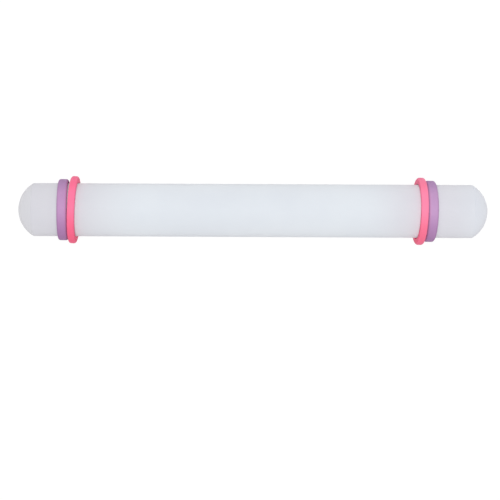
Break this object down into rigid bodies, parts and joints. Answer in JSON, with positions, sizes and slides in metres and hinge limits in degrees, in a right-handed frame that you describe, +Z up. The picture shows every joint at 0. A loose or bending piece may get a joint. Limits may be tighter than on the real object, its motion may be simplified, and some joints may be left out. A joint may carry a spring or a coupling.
{
  "type": "adjustable rolling pin",
  "caption": "Small white fondant rolling pin with domed ends and slide-on purple and pink rubber guide rings that set how thick the icing is rolled.",
  "frame": {"origin": "on the surface that the pink rings stand on, below the middle of the pin", "axes": "+X along the barrel to its right end in the picture, +Z up, +Y across the barrel"},
  "size_m": [0.23, 0.033, 0.033],
  "materials": {
    "white_plastic": "satin milky white polyethylene",
    "purple_rubber": "matte purple silicone rubber",
    "pink_rubber": "matte pink silicone rubber"
  },
  "bodies": {
    "roller": {"barrel_tube": "white_plastic", "end_plug_left": "white_plastic", "end_plug_right": "white_plastic"},
    "purple_ring_left": {"purple_ring_left": "purple_rubber"},
    "pink_ring_left": {"pink_ring_left": "pink_rubber"},
    "purple_ring_right": {"purple_ring_right": "purple_rubber"},
    "pink_ring_right": {"pink_ring_right": "pink_rubber"}
  },
  "joints": [
    {"name": "purple_left_slide", "type": "slide", "parent": "roller", "child": "purple_ring_left", "axis": [-1, 0, 0], "range_m": [0, 0.027]},
    {"name": "pink_left_slide", "type": "slide", "parent": "roller", "child": "pink_ring_left", "axis": [1, 0, 0], "range_m": [0, 0.083]},
    {"name": "purple_right_slide", "type": "slide", "parent": "roller", "child": "purple_ring_right", "axis": [1, 0, 0], "range_m": [0, 0.033]},
    {"name": "pink_right_slide", "type": "slide", "parent": "roller", "child": "pink_ring_right", "axis": [-1, 0, 0], "range_m": [0, 0.077]}
  ]
}
